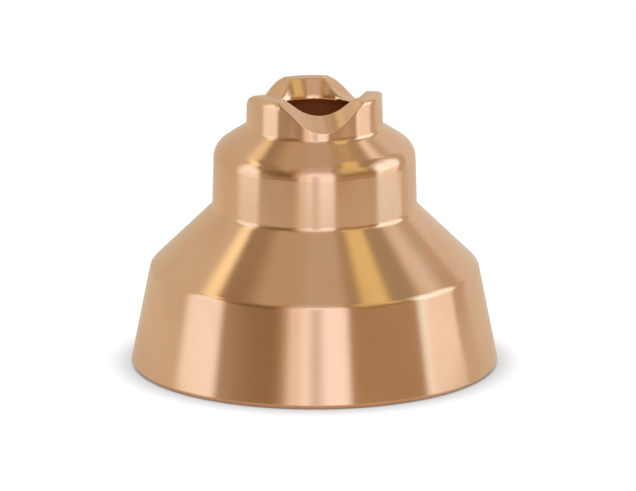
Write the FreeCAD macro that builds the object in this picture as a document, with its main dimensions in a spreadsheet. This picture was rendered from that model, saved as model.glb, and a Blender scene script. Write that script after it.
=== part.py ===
import FreeCAD, Part
import Sketcher
import math
import os

# Plasma torch shield: one piece of copper, turned, then milled to leave a crown of three lobes.
# The origin is the centre of the rim that the shield stands on, and Z runs up through the arc bore.

SIZES = {
    # Outside of the turned blank: each length runs along the axis, from the rim up
    "base_diameter": 34.0,
    "skirt_length": 9.3,
    "skirt_top_diameter": 30.5,
    "cone_length": 5.7,
    "neck_root_diameter": 19.0,
    "neck_length": 5.65,
    "neck_top_diameter": 18.7,
    "nose_length": 2.0,
    "collar_root_diameter": 12.7,
    "collar_length": 3.35,
    "crown_diameter": 12.5,
    # Edges and corners of the outside
    "rim_chamfer": 0.35,
    "skirt_round": 0.75,
    "neck_root_round": 0.5,
    "neck_top_round": 1.9,
    "collar_root_round": 0.4,
    "crown_round": 0.5,
    # Arc bore and the flared mouth in front of it
    "bore_diameter": 7.3,
    "mouth_diameter": 9.5,
    "mouth_depth": 1.53,
    # Inside, from the rim up
    "thread_minor_diameter": 26.4,
    "thread_lead_in": 1.2,
    "relief_diameter": 28.4,
    "relief_width": 1.5,
    "seat_height": 8.0,
    "seat_bore_diameter": 24.4,
    "cone_wall": 2.0,
    "chamber_diameter": 14.8,
    "nose_wall": 2.0,
    # Notches that part the lobes: the depth is measured at the outside of the crown
    "lobe_count": 3,
    "notch_depth": 2.5,
    "notch_slope": 22.6,
    "notch_floor_radius": 3.7,
    "notch_flank_angle": 38.5,
    "notch_flank_length": 0.3,
    "notch_crest_radius": 5.5,
    "notch_crest_span": 22.0,
    "cutter_overrun": 3.0,
}


def radius(name):
    return f"sizes.{name}_diameter / 2"


# Corners of the outside, as expressions: the radius, then the level above the rim
FLOOR_LEVEL = "0 mm"
RIM_FACE = (f"{radius('base')} - sizes.rim_chamfer", FLOOR_LEVEL)
RIM = (radius("base"), "sizes.rim_chamfer")
SKIRT_TOP = (radius("skirt_top"), "sizes.skirt_length")
NECK_ROOT = (radius("neck_root"), f"{SKIRT_TOP[1]} + sizes.cone_length")
NECK_TOP = (radius("neck_top"), f"{NECK_ROOT[1]} + sizes.neck_length")
COLLAR_ROOT = (radius("collar_root"), f"{NECK_TOP[1]} + sizes.nose_length")
CROWN_TOP = (radius("crown"), f"{COLLAR_ROOT[1]} + sizes.collar_length")
ROUNDS = {
    SKIRT_TOP: "sizes.skirt_round",
    NECK_ROOT: "sizes.neck_root_round",
    NECK_TOP: "sizes.neck_top_round",
    COLLAR_ROOT: "sizes.collar_root_round",
    CROWN_TOP: "sizes.crown_round",
}

document = FreeCAD.newDocument("plasma_torch_shield")


def make_size_sheet():
    sheet = document.addObject("Spreadsheet::Sheet", "sizes")
    for row, (name, value) in enumerate(SIZES.items(), start=1):
        sheet.set(f"A{row}", name)
        sheet.set(f"B{row}", str(value))
        sheet.setAlias(f"B{row}", name)
    document.recompute()


def size(expression):
    """The number that an expression of the sheet's names comes to."""
    found = document.getObject("sizes").evalExpression(expression)
    return getattr(found, "Value", found)


def section_sketch(body, name):
    """A sketch on the plane through the axis: across is X, up is Z."""
    plane = next(item for item in body.Origin.OriginFeatures if item.Role == "XZ_Plane")
    sketch = body.newObject("Sketcher::SketchObject", name)
    sketch.AttachmentSupport = [(plane, "")]
    sketch.MapMode = "FlatFace"
    return sketch


def hold(sketch, expression, kind, *where):
    """Adds a constraint whose value follows an expression of the sheet's names.

    In the numbers that say where, -1 and -2 are the horizontal and the vertical axis, and -1, 1 is
    the origin. Of a line or an arc, point 1 is the start, 2 the end and 3 the centre.
    """
    value = size(expression)
    if kind == "Angle":
        value = math.radians(value)
    index = sketch.addConstraint(Sketcher.Constraint(kind, *where, value))
    sketch.setExpression(f"Constraints[{index}]", expression)


def join(sketch, kind, *where):
    sketch.addConstraint(Sketcher.Constraint(kind, *where))


def draw_loop(sketch, corners):
    """Draws a closed loop of straight lines, each corner held at its (across, up) expressions.

    A corner that is listed in ROUNDS gets an arc, then a point where its two lines would meet, and
    that point is held.
    """
    places = [FreeCAD.Vector(size(across), size(up), 0) for across, up in corners]
    for start, end in zip(places, places[1:] + places[:1]):
        sketch.addGeometry(Part.LineSegment(start, end))
    for line in range(len(corners)):
        join(sketch, "Coincident", line, 2, (line + 1) % len(corners), 1)
    arcs = {}
    for line, corner in enumerate(corners):
        if corner in ROUNDS:
            arcs[line] = sketch.GeometryCount
            sketch.fillet(line, 1, size(ROUNDS[corner]), True, True)
    for line, corner in enumerate(corners):
        held = line
        if line in arcs:
            hold(sketch, ROUNDS[corner], "Radius", arcs[line])
            held = arcs[line] + 1
        hold(sketch, corner[0], "DistanceX", -1, 1, held, 1)
        if corner[1] == FLOOR_LEVEL:
            join(sketch, "PointOnObject", held, 1, -1)
        else:
            hold(sketch, corner[1], "DistanceY", -1, 1, held, 1)


def inner_face(at_radius, wall, low, top):
    """The point at a radius on the face that runs a wall's thickness inside an outer cone.

    The cone runs from its low corner up to its top one.
    """
    slope = f"(({top[1]}) - ({low[1]})) / ({low[0]} - {top[0]})"
    drop = f"sizes.{wall} * sqrt(1 + ({slope}) ^ 2)"
    return at_radius, f"{top[1]} + ({top[0]} - {at_radius}) * {slope} - {drop}"


def turn_blank(body):
    """Revolves the whole section: outside, flared mouth, arc bore, chamber, seat and thread bore."""
    bore = radius("bore")
    chamber = radius("chamber")
    seat_bore = radius("seat_bore")
    thread = radius("thread_minor")
    relief = radius("relief")
    seat = "sizes.seat_height"
    relief_floor = f"{seat} - sizes.relief_width"
    outside = [RIM_FACE, RIM, SKIRT_TOP, NECK_ROOT, NECK_TOP, COLLAR_ROOT, CROWN_TOP]
    mouth = [
        (radius("mouth"), CROWN_TOP[1]),
        (bore, f"{CROWN_TOP[1]} - sizes.mouth_depth"),
    ]
    inside = [
        inner_face(bore, "nose_wall", NECK_TOP, COLLAR_ROOT),
        inner_face(chamber, "nose_wall", NECK_TOP, COLLAR_ROOT),
        inner_face(chamber, "cone_wall", SKIRT_TOP, NECK_ROOT),
        inner_face(seat_bore, "cone_wall", SKIRT_TOP, NECK_ROOT),
        (seat_bore, seat),
        (relief, seat),
        (relief, relief_floor),
        (thread, relief_floor),
        (thread, "sizes.thread_lead_in"),
        (f"{thread} + sizes.thread_lead_in", FLOOR_LEVEL),
    ]
    sketch = section_sketch(body, "turned_section")
    draw_loop(sketch, outside + mouth + inside)
    blank = body.newObject("PartDesign::Revolution", "turned_blank")
    blank.Profile = sketch
    blank.ReferenceAxis = (sketch, ["V_Axis"])
    blank.Angle = 360
    document.recompute()


def arc(centre, arc_radius, from_degrees, to_degrees):
    circle = Part.Circle(centre, FreeCAD.Vector(0, 0, 1), arc_radius)
    return Part.ArcOfCircle(circle, math.radians(from_degrees), math.radians(to_degrees))


def draw_notch(sketch):
    """Draws a notch's section where it meets the axis: floor arc, flanks, crest arcs and a lid.

    The notch climbs towards the axis, so its floor lies higher there than at the outside.
    """
    floor_level = f"{CROWN_TOP[1]} - sizes.notch_depth + tan(sizes.notch_slope * 1 deg) * {CROWN_TOP[0]}"
    lid_level = f"{CROWN_TOP[1]} + 2 * sizes.cutter_overrun"
    floor_radius = size("sizes.notch_floor_radius")
    crest_radius = size("sizes.notch_crest_radius")
    flank_angle = size("sizes.notch_flank_angle")
    peak_angle = flank_angle - size("sizes.notch_crest_span")
    flank_lean = math.radians(flank_angle)
    peak_lean = math.radians(peak_angle)
    centre = FreeCAD.Vector(0, size(floor_level) + floor_radius, 0)
    floor = sketch.addGeometry(arc(centre, floor_radius, 270 - flank_angle, 270 + flank_angle))
    join(sketch, "PointOnObject", floor, 3, -2)
    hold(sketch, "sizes.notch_floor_radius", "Radius", floor)
    hold(sketch, f"{floor_level} + sizes.notch_floor_radius", "DistanceY", -1, 1, floor, 3)
    walls = []
    for side in (1, -1):
        along = FreeCAD.Vector(side * math.cos(flank_lean), math.sin(flank_lean), 0)
        square = FreeCAD.Vector(side * along.y, -side * along.x, 0)
        rise = FreeCAD.Vector(-side * math.sin(peak_lean), math.cos(peak_lean), 0)
        foot = centre + square * floor_radius
        brow = foot + along * size("sizes.notch_flank_length")
        crest_centre = brow + square * crest_radius
        peak = crest_centre + rise * crest_radius
        top = FreeCAD.Vector(peak.x, size(lid_level), 0)
        flank = sketch.addGeometry(Part.LineSegment(foot, brow))
        crest_ends = sorted((90 + side * flank_angle, 90 + side * peak_angle))
        crest = sketch.addGeometry(arc(crest_centre, crest_radius, *crest_ends))
        wall = sketch.addGeometry(Part.LineSegment(peak, top))
        # An arc runs anticlockwise, so the right-hand crest starts at its peak and the left one at its brow
        floor_end, crest_brow, crest_peak = (2, 2, 1) if side > 0 else (1, 1, 2)
        join(sketch, "Tangent", floor, floor_end, flank, 1)
        join(sketch, "Tangent", flank, 2, crest, crest_brow)
        join(sketch, "Coincident", crest, crest_peak, wall, 1)
        join(sketch, "Vertical", wall)
        lean = "sizes.notch_flank_angle * 1 deg"
        hold(sketch, lean if side > 0 else f"180 deg - {lean}", "Angle", flank)
        hold(sketch, "sizes.notch_flank_length", "Distance", flank)
        hold(sketch, "sizes.notch_crest_radius", "Radius", crest)
        hold(sketch, "sizes.notch_crest_span * 1 deg", "Angle", crest)
        hold(sketch, lid_level, "DistanceY", -1, 1, wall, 2)
        walls.append((wall, top))
    (right_wall, right_top), (left_wall, left_top) = walls
    lid = sketch.addGeometry(Part.LineSegment(right_top, left_top))
    join(sketch, "Coincident", lid, 1, right_wall, 2)
    join(sketch, "Coincident", lid, 2, left_wall, 2)


def mill_crown(body):
    """Cuts one notch from the axis outwards and down, and repeats it round the crown."""
    turned = body.Tip.Shape.Volume
    sketch = section_sketch(body, "notch_section")
    draw_notch(sketch)
    notch = body.newObject("PartDesign::Pocket", "notch")
    notch.Profile = sketch
    notch.UseCustomVector = True
    notch.Direction = FreeCAD.Vector(0, -1, 0)
    notch.setExpression("Direction.z", "-tan(sizes.notch_slope * 1 deg)")
    notch.setExpression("Length", f"{CROWN_TOP[0]} + sizes.cutter_overrun")
    document.recompute()
    notches = body.newObject("PartDesign::PolarPattern", "notches")
    notches.Originals = [notch]
    notches.Axis = (sketch, ["V_Axis"])
    notches.Angle = 360
    notches.setExpression("Occurrences", "sizes.lobe_count")
    body.Tip = notches
    document.recompute()
    first_cut = turned - notch.Shape.Volume
    if first_cut <= 0 or notches.Shape.Volume >= notch.Shape.Volume:
        raise RuntimeError("the notches are not cut all round the crown")


def make_shield():
    body = document.addObject("PartDesign::Body", "shield")
    turn_blank(body)
    mill_crown(body)
    return body


def check_document():
    for item in document.Objects:
        if "Invalid" in item.State or "Error" in item.State:
            raise RuntimeError(f"{item.Name}: {item.State}")


def write_step(item):
    if item.Shape.isNull() or not item.Shape.isValid():
        raise RuntimeError(f"{item.Label}: bad shape")
    item.Shape.exportStep(os.path.join("parts", f"{item.Label}.step"))


make_size_sheet()
shield = make_shield()
check_document()
os.makedirs("parts", exist_ok=True)
write_step(shield)
print(f"shield: {len(shield.Shape.Solids)} solid, {shield.Shape.Volume:.1f} mm3")
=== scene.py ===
import math

import bpy
import numpy as np
from bpy.props import FloatProperty, FloatVectorProperty, IntProperty, PointerProperty
from bpy.types import Operator, Panel, PropertyGroup
from mathutils import Matrix, Vector


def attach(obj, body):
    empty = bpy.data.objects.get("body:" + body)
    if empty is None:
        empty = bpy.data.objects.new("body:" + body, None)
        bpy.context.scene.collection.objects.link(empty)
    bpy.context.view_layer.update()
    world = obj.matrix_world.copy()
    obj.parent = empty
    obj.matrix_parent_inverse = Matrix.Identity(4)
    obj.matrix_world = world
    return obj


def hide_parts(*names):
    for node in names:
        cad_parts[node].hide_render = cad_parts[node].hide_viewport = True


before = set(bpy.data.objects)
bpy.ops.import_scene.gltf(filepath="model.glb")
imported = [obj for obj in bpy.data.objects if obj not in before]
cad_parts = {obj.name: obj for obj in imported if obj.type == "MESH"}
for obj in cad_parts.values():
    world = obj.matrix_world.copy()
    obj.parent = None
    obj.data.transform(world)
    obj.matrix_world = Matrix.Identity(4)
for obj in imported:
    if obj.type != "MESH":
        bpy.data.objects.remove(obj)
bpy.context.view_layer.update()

bl_info = {
    "name": "Plasma torch shield",
    "version": (1, 0, 0),
    "blender": (4, 5, 0),
    "location": "View3D > Sidebar > Shield",
    "description": "Builds a turned copper plasma torch shield with a three-lobed crown",
    "category": "Object",
}

MM = 0.001

# How finely the surfaces are divided: each lobe with its notch, each radian of a rounding of 1 mm, and
# each turn of the thread
LOBE_SEGMENTS = 200
ARC_STEPS = 8
THREAD_SEGMENTS = 150


def length(name, description, millimetres):
    """A size in metres, from its default in millimetres."""
    return FloatProperty(
        name=name, description=description, default=millimetres * MM, min=0.0, precision=5,
        unit="LENGTH",
    )


def angle(name, description, degrees):
    """An angle in radians, from its default in degrees."""
    return FloatProperty(
        name=name, description=description, default=math.radians(degrees), subtype="ANGLE"
    )


def factor(name, description, default):
    """A share from 0 to 1."""
    return FloatProperty(
        name=name, description=description, default=default, min=0.0, max=1.0, subtype="FACTOR"
    )


def tint(name, description, default):
    """A colour."""
    return FloatVectorProperty(
        name=name, description=description, default=default, min=0.0, max=1.0, size=3, subtype="COLOR"
    )


class OutsideSizes(PropertyGroup):
    base_diameter: length("Rim", "Diameter at the foot of the skirt", 34.0)
    skirt_top_diameter: length("Skirt top", "Diameter where the skirt meets the cone", 30.5)
    neck_root_diameter: length("Neck root", "Diameter where the cone meets the neck", 19.0)
    neck_top_diameter: length("Neck top", "Diameter where the neck turns in to the nose", 18.7)
    collar_root_diameter: length("Collar root", "Diameter where the nose meets the collar", 12.7)
    crown_diameter: length("Crown", "Diameter at the tops of the lobes", 12.5)
    skirt_length: length("Skirt length", "Height of the skirt", 9.3)
    cone_length: length("Cone length", "Height of the cone above the skirt", 5.7)
    neck_length: length("Neck length", "Height of the neck", 5.65)
    nose_length: length("Nose length", "Height of the nose above the neck", 2.0)
    collar_length: length("Collar length", "Height of the collar to the tops of the lobes", 3.35)
    rim_chamfer: length("Rim chamfer", "Chamfer at the foot of the skirt", 0.35)
    skirt_round: length("Skirt round", "Rounding at the top of the skirt", 0.95)
    neck_root_round: length("Neck root round", "Rounding in the corner at the neck's foot", 0.7)
    neck_top_round: length("Neck top round", "Rounding at the top of the neck", 1.9)
    collar_root_round: length("Collar root round", "Rounding in the corner at the collar's foot", 0.6)
    crown_round: length("Crown round", "Rounding of the lobes' outer edge", 0.6)


class InsideSizes(PropertyGroup):
    bore_diameter: length("Arc bore", "Diameter of the arc bore", 7.3)
    mouth_diameter: length("Mouth", "Diameter of the flared mouth at the tops of the lobes", 9.5)
    mouth_depth: length("Mouth depth", "Depth of the flared mouth", 1.53)
    nose_wall: length("Nose wall", "Thickness of the wall behind the nose", 2.0)
    cone_wall: length("Cone wall", "Thickness of the wall behind the cone", 2.0)
    chamber_diameter: length("Gas chamber", "Diameter of the gas chamber", 14.8)
    seat_bore_diameter: length("Seat bore", "Diameter of the bore above the seat", 24.4)
    seat_height: length("Seat height", "Height of the seat above the rim", 8.0)
    relief_diameter: length("Relief", "Diameter of the thread's run-out groove", 28.4)
    relief_width: length("Relief width", "Height of the thread's run-out groove", 1.5)
    thread_minor_diameter: length("Thread crest", "Minor diameter of the cap thread", 26.4)
    thread_major_diameter: length("Thread root", "Major diameter of the cap thread", 28.0)
    thread_pitch: length("Thread pitch", "Pitch of the cap thread", 1.5)
    thread_lead_in: length("Lead-in", "Chamfer at the open end of the thread", 1.2)
    edge_break: length("Edge break", "Breaking of the inner edges", 0.12)


class CrownSizes(PropertyGroup):
    lobe_count: IntProperty(name="Lobes", description="Number of lobes and of notches", default=3, min=2)
    notch_azimuth: angle("First notch", "Direction of the first notch round the axis", 270.0)
    notch_depth: length("Notch depth", "Depth of a notch at the outside", 2.5)
    notch_slope: angle("Notch slope", "Climb of a notch's floor towards the axis", 22.6)
    floor_radius: length("Floor radius", "Radius of a notch's rounded floor", 3.7)
    flank_angle: angle("Flank angle", "Steepness of a notch's flanks", 38.5)
    flank_length: length("Flank length", "Length of a notch's straight flank", 0.3)
    crest_radius: length("Crest radius", "Radius from a flank over to the lobe's top", 5.5)
    notch_edge: length("Notch edge", "Rounding of a notch's edge at the outside", 0.07)
    mouth_edge: length("Mouth edge", "Rounding of the lobes' edge at the mouth", 0.14)
    rim_edge: length("Bore rim edge", "Rounding of the edge round the arc bore", 0.28)


class CopperLook(PropertyGroup):
    copper: tint("Copper", "Colour of the polished copper", (0.93, 0.63, 0.44))
    worn_copper: tint("Handled copper", "Colour of the faint darker patches", (0.89, 0.58, 0.39))
    patch_size: length("Patch size", "Size of the faint darker patches", 6.25)
    roughness: factor("Roughness", "Roughness of the polish", 0.13)
    milled_roughness: factor("Milled roughness", "Roughness of the milled notches", 0.22)
    brushing: factor("Brushing", "How far the tool marks stretch the reflections", 0.45)
    groove_depth: length("Groove depth", "Depth of the fine tool marks", 0.0006)
    groove_pitch: length("Groove pitch", "Spacing of the fine tool marks", 0.12)


class StudioLook(PropertyGroup):
    camera_azimuth: angle("Camera azimuth", "Direction of the camera, from the front to the right", -8.2)
    camera_elevation: angle("Camera elevation", "Height of the camera above the horizon", 14.9)
    camera_distance: length("Camera distance", "Distance of the camera from the object", 1500.0)
    view_width: length("View width", "Width that the picture takes in at the object", 59.05)
    view_right: length("View right", "How far the picture's centre lies to the right of the axis", 0.32)
    view_height: length("View height", "Height of the picture's centre on the axis", 11.13)
    board_size: length("Board size", "Side of the white board under the object", 190.0)
    board: tint("Board", "Colour of the white board", (0.9, 0.9, 0.9))
    board_in_view: tint("Board in view", "Matt share of the board that the camera sees", (0.15, 0.15, 0.15))
    contact_reach: length("Contact reach", "How far the dark edge round the foot reaches", 3.4)
    board_gloss: factor("Board gloss", "Satin share of the board that the metal mirrors", 0.33)
    board_roughness: factor("Board roughness", "Roughness of the board's satin", 0.12)
    bounce: tint("Bounce", "Colour of the copper's own light on the board", (1.0, 0.88, 0.68))
    bounce_strength: factor("Bounce strength", "Strength of the copper's light on the board", 0.12)


def turned_corners(points):
    """A path's points, with an arc at each corner that has a rounding.

    The corners are rows of across, up and rounding.
    """
    path = []
    for index, (across, up, rounding) in enumerate(points):
        corner = Vector((across, up))
        if not rounding:
            path.append(corner)
            continue
        before = (Vector(points[index - 1][:2]) - corner).normalized()
        after = (Vector(points[(index + 1) % len(points)][:2]) - corner).normalized()
        half_angle = before.angle(after) / 2
        reach = rounding / math.tan(half_angle)
        middle = corner + (before + after).normalized() * (rounding / math.sin(half_angle))
        start = corner + before * reach - middle
        turn = start.angle_signed(corner + after * reach - middle)
        support = min(0.25 * reach, 0.1 * MM)
        steps = max(3, round(abs(turn) * math.sqrt(rounding / MM) * ARC_STEPS))
        path.append(corner + before * (reach + support))
        for step in range(steps + 1):
            path.append(middle + Matrix.Rotation(-turn * step / steps, 2) @ start)
        path.append(corner + after * (reach + support))
    return path


def inner_face(at_radius, wall, low, top):
    """The height at a radius on the face that runs a wall's thickness inside an outer cone."""
    slope = (top[1] - low[1]) / (low[0] - top[0])
    return top[1] + (top[0] - at_radius) * slope - wall * math.hypot(1, slope)


def outside_corners(sizes):
    """The outline's corners from the rim up to the crown, each its radius and its height."""
    rise = 0.0
    corners = [(sizes.base_diameter / 2, sizes.rim_chamfer)]
    for diameter, run in (
        (sizes.skirt_top_diameter, sizes.skirt_length),
        (sizes.neck_root_diameter, sizes.cone_length),
        (sizes.neck_top_diameter, sizes.neck_length),
        (sizes.collar_root_diameter, sizes.nose_length),
        (sizes.crown_diameter, sizes.collar_length),
    ):
        rise += run
        corners.append((diameter / 2, rise))
    return corners


def collar_radius(outside, height):
    """The collar's radius at a height: it narrows evenly up to the tops of the lobes."""
    (root_radius, root_height), (crown_radius, top) = outside_corners(outside)[-2:]
    return crown_radius + (root_radius - crown_radius) / (top - root_height) * (top - height)


def collar_split(outside, crown):
    """The height on the collar up to which the section is the same all round."""
    return outside_corners(outside)[-1][1] - 1.15 * crown.notch_depth


def bore_split(outside, inside):
    """The height in the arc bore up to which the section is the same all round."""
    return outside_corners(outside)[-1][1] - 2 * inside.mouth_depth


def plain_path(outside, inside, crown):
    """The part of the section that is the same all round.

    It runs from the arc bore down inside and up outside to the collar.
    """
    rim, skirt_top, neck_root, neck_top, collar_root, _ = outside_corners(outside)
    bore = inside.bore_diameter / 2
    chamber = inside.chamber_diameter / 2
    seat_bore = inside.seat_bore_diameter / 2
    relief = inside.relief_diameter / 2
    thread_root = inside.thread_major_diameter / 2
    opening = inside.thread_minor_diameter / 2 + inside.thread_lead_in
    relief_floor = inside.seat_height - inside.relief_width
    edge = inside.edge_break
    walls = (inside.nose_wall, neck_top, collar_root), (inside.cone_wall, skirt_top, neck_root)
    split = collar_split(outside, crown)
    return turned_corners([
        (bore, bore_split(outside, inside), 0),
        (bore, inner_face(bore, *walls[0]), edge),
        (chamber, inner_face(chamber, *walls[0]), 4 * edge),
        (chamber, inner_face(chamber, *walls[1]), edge),
        (seat_bore, inner_face(seat_bore, *walls[1]), 2 * edge),
        (seat_bore, inside.seat_height, edge),
        (relief, inside.seat_height, edge),
        (relief, relief_floor, edge / 2),
        (thread_root, relief_floor, edge / 2),
        (thread_root, opening - thread_root, edge / 2),
        (opening, 0, edge),
        (outside.base_diameter / 2 - outside.rim_chamfer, 0, edge),
        (*rim, edge),
        (*skirt_top, outside.skirt_round),
        (*neck_root, outside.neck_root_round),
        (*neck_top, outside.neck_top_round),
        (*collar_root, outside.collar_root_round),
        (collar_radius(outside, split), split, 0),
    ])


def notch_height(crown, top, outer_radius, across, along):
    """The height of a notch's surface at a distance across its own line and along it from the axis."""
    distance = np.abs(across)
    flank = crown.flank_angle
    floor_end = crown.floor_radius * math.sin(flank)
    flank_end = floor_end + crown.flank_length * math.cos(flank)
    crest_middle = flank_end + crown.crest_radius * math.sin(flank)
    floor = crown.floor_radius - np.sqrt(crown.floor_radius**2 - np.minimum(distance, floor_end) ** 2)
    slope = np.clip(distance - floor_end, 0, flank_end - floor_end) * math.tan(flank)
    over = np.clip(crest_middle - distance, 0, crest_middle - flank_end)
    crest = np.sqrt(crown.crest_radius**2 - over**2) - crown.crest_radius * math.cos(flank)
    climb = math.tan(crown.notch_slope)
    return top - crown.notch_depth + climb * (outer_radius - along) + floor + slope + crest


def crown_paths(outside, inside, crown, bearings):
    """The rest of the section at each bearing: up the collar, over the lobe or notch, and down the bore.

    Returns an array of points with one row for each step of the path and one column for each bearing.
    The lobes' flat tops turn into the notches over the blend, and the lobes' rounded outer edge fades
    to the notches' sharper one over the edge fade.
    """
    crown_radius, top = outside_corners(outside)[-1]
    bore = inside.bore_diameter / 2
    rim_height = top - inside.mouth_depth
    flare = inside.mouth_depth / (inside.mouth_diameter / 2 - bore)
    blend = 0.05 * MM
    edge_fade = 0.5 * MM
    closing_steps, halvings = 20, 40

    def surface(radius):
        across, along = radius * np.sin(bearings), radius * np.cos(bearings)
        cut = notch_height(crown, top, crown_radius, across, along)
        return (cut + top - np.sqrt((cut - top) ** 2 + blend**2)) / 2

    outer = np.full_like(bearings, crown_radius)
    for _ in range(closing_steps):
        outer = collar_radius(outside, surface(outer))
    low, high = np.full_like(bearings, bore), np.full_like(bearings, inside.mouth_diameter / 2)
    for _ in range(halvings):
        middle = (low + high) / 2
        above = surface(middle) > rim_height + flare * (middle - bore)
        low, high = np.where(above, middle, low), np.where(above, high, middle)
    inner = np.where(surface(np.full_like(bearings, bore)) > rim_height, low, bore)
    outer_height, inner_height = surface(outer), surface(inner)
    uncut = np.clip((outer_height - top) / edge_fade + 1, 0, 1)
    outer_edge = crown.notch_edge + (outside.crown_round - crown.notch_edge) * uncut**2
    inner_end = inner_height - crown.mouth_edge
    rim_level = np.minimum(rim_height, inner_end - 1.2 * crown.rim_edge)

    def collar(height):
        return np.stack([collar_radius(outside, height), height])

    def lobe(share):
        radius = outer + (inner - outer) * share
        return np.stack([radius, surface(radius)])

    def mouth(height):
        return np.stack([np.maximum(bore, bore + (height - rim_height) / flare), height])

    def bend(start, corner, end, steps):
        shares = np.linspace(0, 1, steps + 1)
        return [(1 - s) ** 2 * start + 2 * s * (1 - s) * corner + s**2 * end for s in shares]

    width = outer - inner
    wall_start, wall_end = collar_split(outside, crown), outer_height - outer_edge
    rows = [collar(wall_start + (wall_end - wall_start) * s) for s in (0.3, 0.6, 0.9)]
    edge_start, edge_end = outer_edge / width, 1 - crown.mouth_edge / width
    rows += bend(collar(wall_end), lobe(np.zeros_like(bearings)), lobe(edge_start), 6)
    rows += [lobe(edge_start + (edge_end - edge_start) * s) for s in np.linspace(0.04, 0.96, 15)]
    rows += bend(lobe(edge_end), np.stack([inner, inner_height]), mouth(inner_end), 4)
    rim_start = rim_level + crown.rim_edge
    rows += [mouth(inner_end + (rim_start - inner_end) * s) for s in (0.1, 0.35, 0.65, 0.9)]
    corner = np.stack([np.maximum(bore, bore + (rim_level - rim_height) / flare), rim_level])
    rim_end = rim_level - crown.rim_edge
    rows += bend(mouth(rim_start), corner, mouth(rim_end), 4)
    rows += [mouth(rim_end + (bore_split(outside, inside) - rim_end) * s) for s in (0.3, 0.7)]
    return np.array(rows)


def ring_mesh(name, radii, heights, azimuths):
    """A closed mesh from a closed section at each azimuth: its points run down the rows."""
    rows, columns = radii.shape
    points = np.stack([radii * np.cos(azimuths), radii * np.sin(azimuths), heights], axis=-1)
    numbers = np.arange(rows * columns).reshape(rows, columns)
    below, right = np.roll(numbers, -1, axis=0), np.roll(numbers, -1, axis=1)
    faces = np.stack([numbers, right, np.roll(below, -1, axis=1), below], axis=-1)
    mesh = bpy.data.meshes.new(name)
    mesh.from_pydata(points.reshape(-1, 3).tolist(), [], faces.reshape(-1, 4).tolist())
    mesh.validate()
    mesh.shade_smooth()
    return mesh


def place_piece(name, mesh, material):
    """Links a mesh as a copper piece that rides on the part's one body."""
    mesh.materials.clear()
    mesh.materials.append(material)
    piece = bpy.data.objects.new(name, mesh)
    bpy.context.scene.collection.objects.link(piece)
    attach(piece, "root")
    return piece


class Nodes:
    """Adds nodes to a tree, and links what is an output or sets what is a value."""

    def __init__(self, tree):
        self.tree = tree
        tree.nodes.clear()

    def add(self, kind, inputs=None, **settings):
        node = self.tree.nodes.new(kind)
        for name, value in settings.items():
            setattr(node, name, value)
        for key, value in (inputs or {}).items():
            self.feed(node.inputs[key], value)
        return node

    def feed(self, socket, value):
        if isinstance(value, bpy.types.NodeSocket):
            self.tree.links.new(value, socket)
        else:
            socket.default_value = value

    def math(self, operation, *values):
        return self.add("ShaderNodeMath", dict(enumerate(values)), operation=operation).outputs[0]

    def dot(self, vector, direction):
        node = self.add("ShaderNodeVectorMath", {0: vector, 1: direction}, operation="DOT_PRODUCT")
        return node.outputs["Value"]

    def ramp(self, value, start, end):
        """From 0 at the start to 1 at the end, with soft ends."""
        inputs = {"Value": value, "From Min": start, "From Max": end}
        return self.add("ShaderNodeMapRange", inputs, interpolation_type="SMOOTHSTEP").outputs["Result"]

    def mix_colour(self, share, under, over, label=""):
        node = self.add("ShaderNodeMix", data_type="RGBA", label=label)
        for socket, value in zip((node.inputs[0], node.inputs[6], node.inputs[7]), (share, under, over)):
            self.feed(socket, value)
        return node.outputs[2]


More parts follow.
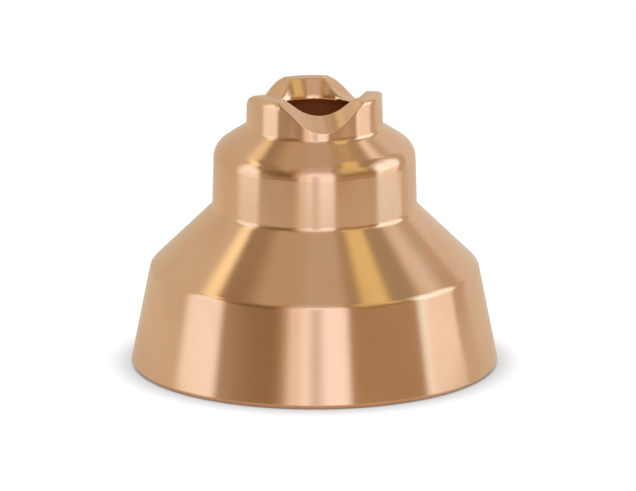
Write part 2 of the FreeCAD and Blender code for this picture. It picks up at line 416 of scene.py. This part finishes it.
def copper_material(look, low, high):
    """Polished copper with the faint rings that turning leaves, rougher where a notch is milled.

    What is milled lies between the two heights and faces up more than the turned walls there do.
    """
    material = bpy.data.materials.new("turned_copper")
    material.use_nodes = True
    nodes = Nodes(material.node_tree)
    place = nodes.add("ShaderNodeTexCoord").outputs["Object"]
    flat = nodes.add("ShaderNodeVectorMath", {0: place, 1: (1, 1, 0)}, operation="MULTIPLY").outputs[0]
    radius = nodes.add("ShaderNodeVectorMath", {0: flat}, operation="LENGTH").outputs["Value"]
    height = nodes.add("ShaderNodeSeparateXYZ", {0: place}).outputs["Z"]
    section = nodes.add("ShaderNodeCombineXYZ", {"X": radius, "Y": height}).outputs[0]
    rings = nodes.add("ShaderNodeTexNoise", {
        "Vector": section, "Scale": 1 / look.groove_pitch, "Detail": 3.0, "Roughness": 0.6,
    })
    handling = nodes.add("ShaderNodeTexNoise", {
        "Vector": place, "Scale": 1 / look.patch_size, "Detail": 3.0,
    })
    patches = nodes.ramp(handling.outputs["Fac"], 0.45, 0.75)
    colour = nodes.mix_colour(patches, (*look.copper, 1), (*look.worn_copper, 1))
    normal = nodes.add("ShaderNodeNewGeometry").outputs["Normal"]
    facing_up = nodes.ramp(nodes.add("ShaderNodeSeparateXYZ", {0: normal}).outputs["Z"], 0.60, 0.68)
    above, below = nodes.math("GREATER_THAN", height, low), nodes.math("LESS_THAN", height, high)
    milled = nodes.math("MULTIPLY", facing_up, nodes.math("MULTIPLY", above, below))
    polish = nodes.add("ShaderNodeMapRange", {
        "Value": milled, "To Min": look.roughness, "To Max": look.milled_roughness,
    }).outputs["Result"]
    uneven = nodes.add("ShaderNodeMapRange", {
        "Value": rings.outputs["Fac"], "To Min": 0.8, "To Max": 1.25,
    }).outputs["Result"]
    rough = nodes.math("MULTIPLY", polish, uneven)
    bump = nodes.add("ShaderNodeBump", {
        "Height": rings.outputs["Fac"], "Strength": 1.0, "Distance": look.groove_depth,
    })
    tangent = nodes.add("ShaderNodeTangent", direction_type="RADIAL", axis="Z")
    shader = nodes.add("ShaderNodeBsdfPrincipled", {
        "Base Color": colour, "Metallic": 1.0, "Roughness": rough, "Anisotropic": look.brushing,
        "Anisotropic Rotation": 0.25, "Normal": bump.outputs[0], "Tangent": tangent.outputs[0],
    })
    nodes.add("ShaderNodeOutputMaterial", {"Surface": shader.outputs[0]})
    return material


class ShieldOperator:
    """What the operators share"""

    bl_options = {"REGISTER", "UNDO"}

    def settings(self, context):
        return context.scene.plasma_shield


class SHIELD_OT_turn_body(ShieldOperator, Operator):
    """Build the turned and milled copper body"""

    bl_idname = "plasma_shield.turn_body"
    bl_label = "Turned Body"

    def execute(self, context):
        settings = self.settings(context)
        outside, inside, crown = settings.outside, settings.inside, settings.crown
        segments = LOBE_SEGMENTS * crown.lobe_count
        azimuths = crown.notch_azimuth + np.arange(segments) * math.tau / segments
        sector = math.tau / crown.lobe_count
        bearings = (np.arange(segments) * math.tau / segments + sector / 2) % sector - sector / 2
        plain = np.array([tuple(point) for point in plain_path(outside, inside, crown)])
        plain = np.repeat(plain[:, :, None], segments, axis=2)
        section = np.concatenate([plain, crown_paths(outside, inside, crown, bearings)])
        mesh = ring_mesh("shield_body", section[:, 0], section[:, 1], azimuths)
        piece = place_piece("shield_body", mesh, bpy.data.materials["turned_copper"])
        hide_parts("shield")
        return {"FINISHED"}


# The thread's ridge: its widths at the root and at the crest as shares of the pitch, the size of its thin
# tips as a share of the full section, and the share of its length over which each tip grows to that.
THREAD_ROOT_SHARE = 0.86
THREAD_CREST_SHARE = 0.14
RUN_OUT_TIP = 0.1
RUN_OUT_SHARE = 1 / 9


def thread_tree():
    """A ridge that climbs the bore as a helix, from a spiral and a four-sided section."""
    tree = bpy.data.node_groups.new("cap_thread_ridge", "GeometryNodeTree")
    tree.is_modifier = True
    nodes = Nodes(tree)
    sockets = {}
    for name, default in (
        ("Root Radius", 14.04 * MM), ("Depth", 0.84 * MM), ("Pitch", 1.5 * MM),
        ("Start Height", 1.1 * MM), ("Turns", 3.0), ("Root Width", 1.3 * MM), ("Crest Width", 0.2 * MM),
    ):
        socket = tree.interface.new_socket(name, in_out="INPUT", socket_type="NodeSocketFloat")
        socket.default_value = default
        sockets[name] = socket.identifier
    material = tree.interface.new_socket("Material", in_out="INPUT", socket_type="NodeSocketMaterial")
    sockets["Material"] = material.identifier
    tree.interface.new_socket("Geometry", in_out="OUTPUT", socket_type="NodeSocketGeometry")
    given = nodes.add("NodeGroupInput").outputs
    climb = nodes.math("MULTIPLY", given["Pitch"], given["Turns"])
    spiral = nodes.add("GeometryNodeCurveSpiral", {
        "Resolution": THREAD_SEGMENTS, "Rotations": given["Turns"], "Start Radius": given["Root Radius"],
        "End Radius": given["Root Radius"], "Height": climb, "Reverse": True,
    })
    lift = nodes.add("ShaderNodeCombineXYZ", {"Z": given["Start Height"]}).outputs[0]
    raised = nodes.add("GeometryNodeTransform", {"Geometry": spiral.outputs[0], "Translation": lift})
    upright = nodes.add("GeometryNodeSetCurveNormal", {"Curve": raised.outputs[0]}, mode="Z_UP")
    along = nodes.add("GeometryNodeSplineParameter").outputs["Factor"]
    from_end = nodes.math("MINIMUM", along, nodes.math("SUBTRACT", 1.0, along))
    grown = nodes.math("MINIMUM", nodes.math("MULTIPLY", from_end, 1 / RUN_OUT_SHARE), 1.0)
    run_out = nodes.math("ADD", nodes.math("MULTIPLY", grown, 1 - RUN_OUT_TIP), RUN_OUT_TIP)
    half_root = nodes.math("DIVIDE", given["Root Width"], 2.0)
    half_crest = nodes.math("DIVIDE", given["Crest Width"], 2.0)
    inward = nodes.math("MULTIPLY", given["Depth"], -1.0)
    corners = []
    for half, sign, depth in (
        (half_root, 1.0, 0.0), (half_crest, 1.0, inward),
        (half_crest, -1.0, inward), (half_root, -1.0, 0.0),
    ):
        up = nodes.math("MULTIPLY", half, sign)
        corners.append(nodes.add("ShaderNodeCombineXYZ", {"X": depth, "Y": up}).outputs[0])
    section = nodes.add("GeometryNodeCurvePrimitiveQuadrilateral", mode="POINTS")
    for number, corner in enumerate(corners, start=1):
        nodes.feed(section.inputs[f"Point {number}"], corner)
    swept = nodes.add("GeometryNodeCurveToMesh", {
        "Curve": upright.outputs[0], "Profile Curve": section.outputs[0], "Scale": run_out,
        "Fill Caps": True,
    })
    real = nodes.add("GeometryNodeRealizeInstances", {"Geometry": swept.outputs[0]})
    painted = nodes.add("GeometryNodeSetMaterial", {
        "Geometry": real.outputs[0], "Material": given["Material"],
    })
    nodes.add("NodeGroupOutput", {"Geometry": painted.outputs[0]})
    return tree, sockets


class SHIELD_OT_cut_thread(ShieldOperator, Operator):
    """Build the ridge of the cap thread inside the skirt"""

    bl_idname = "plasma_shield.cut_thread"
    bl_label = "Cap Thread"

    def execute(self, context):
        inside = self.settings(context).inside
        embed = 0.04 * MM
        root = inside.thread_major_diameter / 2 + embed
        opening = inside.thread_minor_diameter / 2 + inside.thread_lead_in
        start = opening - root + inside.thread_pitch / 2
        end = inside.seat_height - inside.relief_width - inside.thread_pitch / 4
        tree, sockets = thread_tree()
        carrier = bpy.data.objects.new("thread_carrier", bpy.data.meshes.new("thread_carrier"))
        context.scene.collection.objects.link(carrier)
        modifier = carrier.modifiers.new("thread", "NODES")
        modifier.node_group = tree
        values = {
            "Root Radius": root,
            "Depth": root - inside.thread_minor_diameter / 2,
            "Pitch": inside.thread_pitch,
            "Start Height": start,
            "Turns": (end - start) / inside.thread_pitch,
            "Root Width": THREAD_ROOT_SHARE * inside.thread_pitch,
            "Crest Width": THREAD_CREST_SHARE * inside.thread_pitch,
            "Material": bpy.data.materials["turned_copper"],
        }
        for name, value in values.items():
            modifier[sockets[name]] = value
        graph = context.evaluated_depsgraph_get()
        mesh = bpy.data.meshes.new_from_object(carrier.evaluated_get(graph))
        carrier.modifiers.remove(modifier)
        bpy.data.objects.remove(carrier)
        if not mesh.polygons:
            raise RuntimeError("the thread's ridge came out empty")
        mesh.name = "cap_thread_ridge"
        place_piece("cap_thread_ridge", mesh, bpy.data.materials["turned_copper"])
        return {"FINISHED"}


# The studio as the metal sees it, each card laid over the ones before it. A row holds a card's name, its
# left and right edges as bearings from the camera, the bearing that it faces, the elevation of its level
# top edge at that bearing, and its light. Each edge is followed by its softness. To both sides of where
# the card faces, the top edge falls away as a straight edge does. Bearings and elevations are in degrees.
CARDS = [
    ("left_wall", -180, 1, -95, 20, -140, 50, 8, (0.64, 0.56, 0.45)),
    ("right_wall", 108, 12, 180, 1, 150, 56, 6, (0.60, 0.51, 0.41)),
    ("left_ceiling", -160, 10, -16, 12, -90, 86, 5, (0.51, 0.415, 0.275)),
    ("front_ceiling", -17, 10, 48, 14, 10, 70, 10, (0.60, 0.52, 0.45)),
    ("gold_frame", 24, 5, 140, 12, 100, 78, 4, (0.41, 0.31, 0.20)),
    ("gold_card", 37, 5, 126, 6, 111, 74, 4, (0.79, 0.67, 0.32)),
    ("gold_foot", 34, 6, 60, 10, 50, 54, 12, (0.68, 0.55, 0.30)),
    ("left_frame", -155, 10, -22, 4, -110, 67, 7, (0.34, 0.25, 0.165)),
    ("right_frame", 69, 7, 128, 5, 123, 64, 3, (0.38, 0.31, 0.21)),
    ("left_edge", -38, 5, -22, 4, -30, 57, 6, (0.45, 0.30, 0.16)),
    ("left_flag", -62, 8, -25, 4, -45, 36, 14, (0.22, 0.15, 0.07)),
    ("left_flag_foot", -63, 10, -21, 4, -45, 7, 4, (0.335, 0.237, 0.15)),
    ("left_gap", -72, 3, -53, 14, -60, 15, 8, (0.42, 0.33, 0.24)),
    ("right_flag", 29, 5, 76, 6, 62, 27, 12, (0.34, 0.24, 0.11)),
    ("right_flag_foot", 25, 4, 76, 6, 50, 9, 4, (0.43, 0.30, 0.19)),
    ("left_strip", -150, 12, -67, 4, -140, 55.5, 3, (0.90, 0.80, 0.53)),
    ("left_corner", -116, 10, -82, 6, -125, 53, 3, (1.14, 1.06, 0.72)),
    ("left_sheet", -180, 1, -92, 9, -135, 46.5, 4, (0.62, 0.55, 0.43)),
    ("left_softbox", -93, 8, -67, 5, -145, 53, 5, (1.05, 1.13, 1.16)),
    ("left_foot", -94, 8, -67, 5, -90, 3, 5, (1.00, 0.97, 0.93)),
    ("right_strip", 77, 5, 122, 9, 118, 48, 3, (0.73, 0.64, 0.54)),
    ("right_beam", 130, 6, 152, 6, 140, 54, 3, (1.00, 0.96, 0.90)),
    ("right_softbox", 98, 3, 119, 9, 112, 38, 8, (1.10, 1.28, 1.34)),
    ("right_corner", 76.5, 5, 98, 3, 143, 52, 6, (1.12, 1.36, 1.45)),
    ("right_foot", 79, 6, 118, 9, 100, 6, 5, (0.97, 0.90, 0.86)),
    ("right_border", 108, 4, 180, 1, 200, 66.5, 5, (0.54, 0.44, 0.33)),
    ("right_sheet", 124, 4, 180, 1, 216, 69.5, 8, (0.70, 0.63, 0.54)),
    ("front_softbox", -17, 3, 22, 3, 0, 33, 17, (0.90, 0.79, 0.70)),
    ("front_panel", -8, 4, 22, 3, 0, 32, 16, (1.08, 1.08, 1.12)),
    ("camera", -3, 4, 5, 4, 0, 18, 10, (0.73, 0.65, 0.64)),
]
SURROUNDINGS = (0.525, 0.445, 0.355)


def studio_world(look):
    """Softboxes and dark cards all round, and plain white where the camera looks past the object."""
    world = bpy.data.worlds.new("studio")
    world.use_nodes = True
    nodes = Nodes(world.node_tree)
    direction = nodes.add("ShaderNodeTexCoord").outputs["Generated"]
    turn = look.camera_azimuth
    ahead = nodes.dot(direction, (math.sin(turn), -math.cos(turn), 0))
    right = nodes.dot(direction, (math.cos(turn), math.sin(turn), 0))
    bearing = nodes.math("DEGREES", nodes.math("ARCTAN2", right, ahead))
    elevation = nodes.math("DEGREES", nodes.math("ARCSINE", nodes.dot(direction, (0, 0, 1))))
    colour = (*SURROUNDINGS, 1)
    for name, left, left_soft, right_edge, right_soft, facing, high, high_soft, light in CARDS:
        enter = nodes.ramp(bearing, left - left_soft, left + left_soft)
        leave = nodes.ramp(bearing, right_edge + right_soft, right_edge - right_soft)
        aside = nodes.math("RADIANS", nodes.math("SUBTRACT", bearing, float(facing)))
        slope = nodes.math("MULTIPLY", nodes.math("COSINE", aside), math.tan(math.radians(high)))
        edge = nodes.math("DEGREES", nodes.math("ARCTANGENT", slope))
        under_top = nodes.ramp(nodes.math("SUBTRACT", elevation, edge), high_soft, -high_soft)
        mask = nodes.math("MULTIPLY", nodes.math("MULTIPLY", enter, leave), under_top)
        colour = nodes.mix_colour(mask, colour, (*light, 1), label=name)
    studio = nodes.add("ShaderNodeBackground", {"Color": colour}).outputs[0]
    white = nodes.add("ShaderNodeBackground", {"Color": (1, 1, 1, 1)}).outputs[0]
    seen = nodes.add("ShaderNodeLightPath").outputs["Is Camera Ray"]
    shown = nodes.add("ShaderNodeMixShader", {0: seen, 1: studio, 2: white}).outputs[0]
    nodes.add("ShaderNodeOutputWorld", {"Surface": shown})
    return world


def floor_material(look):
    """A white board: plain to the camera, with a contact shadow, and satin where the metal mirrors it."""
    material = bpy.data.materials.new("white_board")
    material.use_nodes = True
    nodes = Nodes(material.node_tree)
    matt = nodes.add("ShaderNodeBsdfDiffuse", {"Color": (*look.board, 1)}).outputs[0]
    open_sky = nodes.add("ShaderNodeAmbientOcclusion", {"Distance": look.contact_reach}).outputs["AO"]
    glow = nodes.add("ShaderNodeEmission", {"Color": (1, 1, 1, 1), "Strength": open_sky}).outputs[0]
    faint = nodes.add("ShaderNodeBsdfDiffuse", {"Color": (*look.board_in_view, 1)}).outputs[0]
    to_camera = nodes.add("ShaderNodeAddShader", {0: glow, 1: faint}).outputs[0]
    satin = nodes.add("ShaderNodeBsdfGlossy", {
        "Color": (1, 1, 1, 1), "Roughness": look.board_roughness,
    }).outputs[0]
    bounce = nodes.add("ShaderNodeEmission", {
        "Color": (*look.bounce, 1), "Strength": look.bounce_strength,
    }).outputs[0]
    lit = nodes.add("ShaderNodeAddShader", {0: matt, 1: bounce}).outputs[0]
    to_metal = nodes.add("ShaderNodeMixShader", {0: look.board_gloss, 1: lit, 2: satin}).outputs[0]
    path = nodes.add("ShaderNodeLightPath").outputs
    lighting = nodes.add("ShaderNodeMixShader", {0: path["Is Glossy Ray"], 1: matt, 2: to_metal})
    shown = nodes.add("ShaderNodeMixShader", {
        0: path["Is Camera Ray"], 1: lighting.outputs[0], 2: to_camera,
    }).outputs[0]
    nodes.add("ShaderNodeOutputMaterial", {"Surface": shown})
    return material


def add_camera(look):
    """A long lens, aimed beside the axis so that the object stands in the picture as in the photo."""
    turn, rise = look.camera_azimuth, look.camera_elevation
    back = Vector((math.sin(turn) * math.cos(rise), -math.cos(turn) * math.cos(rise), math.sin(rise)))
    right = Vector((math.cos(turn), math.sin(turn), 0))
    camera = bpy.data.objects.new("camera", bpy.data.cameras.new("camera"))
    camera.data.lens = camera.data.sensor_width * look.camera_distance / look.view_width
    camera.data.clip_end = 2 * look.camera_distance
    aim = right * look.view_right + Vector((0, 0, look.view_height))
    camera.location = aim + back * look.camera_distance
    camera.rotation_mode = "QUATERNION"
    camera.rotation_quaternion = back.to_track_quat("Z", "Y")
    bpy.context.scene.collection.objects.link(camera)
    bpy.context.scene.camera = camera


class SHIELD_OT_set_stage(ShieldOperator, Operator):
    """Set the floor, the studio's light and the camera"""

    bl_idname = "plasma_shield.set_stage"
    bl_label = "Stage"

    def execute(self, context):
        look = self.settings(context).studio
        half = look.board_size / 2
        drop = 0.01 * MM
        board = bpy.data.meshes.new("floor")
        corners = [(x, y, -drop) for x, y in ((-half, -half), (half, -half), (half, half), (-half, half))]
        board.from_pydata(corners, [], [(0, 1, 2, 3)])
        board.materials.append(floor_material(look))
        floor = bpy.data.objects.new("floor", board)
        context.scene.collection.objects.link(floor)
        context.scene.world = studio_world(look)
        context.scene.view_settings.view_transform = "Standard"
        add_camera(look)
        return {"FINISHED"}


class SHIELD_OT_mix_copper(ShieldOperator, Operator):
    """Make the turned copper material"""

    bl_idname = "plasma_shield.mix_copper"
    bl_label = "Copper"

    def execute(self, context):
        settings = self.settings(context)
        top = outside_corners(settings.outside)[-1][1]
        turned_tops = 0.02 * MM
        low = collar_split(settings.outside, settings.crown)
        copper_material(settings.copper, low, top - turned_tops)
        return {"FINISHED"}


class ShieldSettings(PropertyGroup):
    outside: PointerProperty(type=OutsideSizes)
    inside: PointerProperty(type=InsideSizes)
    crown: PointerProperty(type=CrownSizes)
    copper: PointerProperty(type=CopperLook)
    studio: PointerProperty(type=StudioLook)


class VIEW3D_PT_plasma_shield(Panel):
    """Lists the shield's settings and its pieces"""

    bl_idname = "VIEW3D_PT_plasma_shield"
    bl_label = "Plasma Torch Shield"
    bl_space_type = "VIEW_3D"
    bl_region_type = "UI"
    bl_category = "Shield"

    def draw(self, context):
        settings = context.scene.plasma_shield
        for operator in OPERATORS:
            self.layout.operator(operator.bl_idname)
        for part in ("outside", "inside", "crown", "copper", "studio"):
            group = getattr(settings, part)
            box = self.layout.box()
            box.label(text=part.capitalize())
            for name in group.bl_rna.properties.keys():
                if name not in ("rna_type", "name"):
                    box.prop(group, name)


OPERATORS = (SHIELD_OT_mix_copper, SHIELD_OT_turn_body, SHIELD_OT_cut_thread, SHIELD_OT_set_stage)
GROUPS = (OutsideSizes, InsideSizes, CrownSizes, CopperLook, StudioLook, ShieldSettings)
CLASSES = (*GROUPS, *OPERATORS, VIEW3D_PT_plasma_shield)


def register():
    for kind in CLASSES:
        bpy.utils.register_class(kind)
    bpy.types.Scene.plasma_shield = PointerProperty(type=ShieldSettings)


def unregister():
    del bpy.types.Scene.plasma_shield
    for kind in reversed(CLASSES):
        bpy.utils.unregister_class(kind)


def main():
    register()
    bpy.ops.plasma_shield.mix_copper()
    bpy.ops.plasma_shield.turn_body()
    bpy.ops.plasma_shield.cut_thread()
    bpy.ops.plasma_shield.set_stage()


if __name__ == "__main__":
    main()
